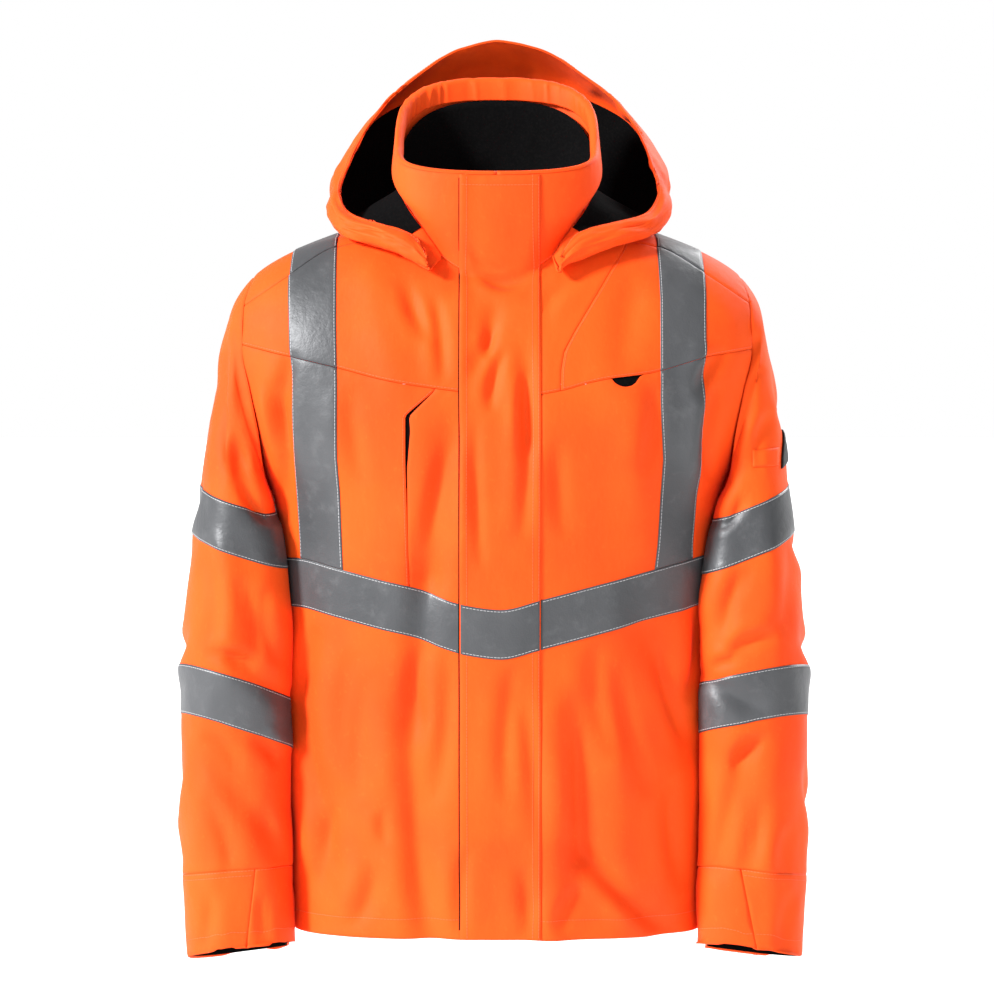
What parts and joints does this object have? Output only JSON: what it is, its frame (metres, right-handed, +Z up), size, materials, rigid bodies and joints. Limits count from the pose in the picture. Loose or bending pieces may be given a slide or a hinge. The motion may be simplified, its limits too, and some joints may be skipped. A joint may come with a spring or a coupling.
{
  "type": "hi-vis work jacket",
  "caption": "Orange high-visibility work jacket with a folded-down hood, grey reflective tape round body, shoulders and sleeves, hidden front fastening and a dark collar lining",
  "frame": {"origin": "between the shoulders at the base of the neck, where the wearer holds the jacket up", "axes": "+X to the wearer's left, -Y to the wearer's front, +Z up"},
  "size_m": [0.6265, 0.3448, 0.9266],
  "materials": {
    "shell_orange": "matt coated weave",
    "tape_grey": "satin reflective tape",
    "lining_black": "matt brushed lining",
    "tab_black": "plain woven tab"
  },
  "bodies": {
    "root": {"back": "shell_orange", "back_yoke": "shell_orange", "band_arm_left": "tape_grey", "band_arm_right": "tape_grey", "band_back": "tape_grey", "band_flap": "tape_grey", "band_forearm_left": "tape_grey", "band_forearm_right": "tape_grey", "band_left": "tape_grey", "band_right": "tape_grey", "brace_left_back": "tape_grey", "brace_left_front": "tape_grey", "brace_left_shoulder": "tape_grey", "brace_left_yoke": "tape_grey", "brace_right_back": "tape_grey", "brace_right_front": "tape_grey", "brace_right_shoulder": "tape_grey", "brace_right_yoke": "tape_grey", "chest_panel_left": "shell_orange", "collar": "shell_orange", "collar_edge": "shell_orange", "collar_lining": "lining_black", "cuff_gusset_left": "shell_orange", "cuff_gusset_right": "shell_orange", "cuff_left": "shell_orange", "cuff_right": "shell_orange", "front_left": "shell_orange", "front_right": "shell_orange", "front_right_side": "shell_orange", "hood_facing": "shell_orange", "hood_left": "shell_orange", "hood_lining": "lining_black", "hood_middle": "shell_orange", "hood_right": "shell_orange", "inner_cuff_left": "lining_black", "inner_cuff_right": "lining_black", "pocket_bag_left": "lining_black", "pocket_bag_right": "lining_black", "sleeve_left": "shell_orange", "sleeve_patch_left": "shell_orange", "sleeve_right": "shell_orange", "sleeve_tab_left": "tab_black", "storm_flap": "shell_orange", "yoke_left": "shell_orange", "yoke_right": "shell_orange", "shoulder_right": "shell_orange", "shoulder_left": "shell_orange", "back_upper": "shell_orange", "sleeve_elbow_right": "shell_orange", "sleeve_elbow_left": "shell_orange", "forearm_right": "shell_orange", "forearm_left": "shell_orange", "hood_neck": "shell_orange"}
  },
  "joints": []
}
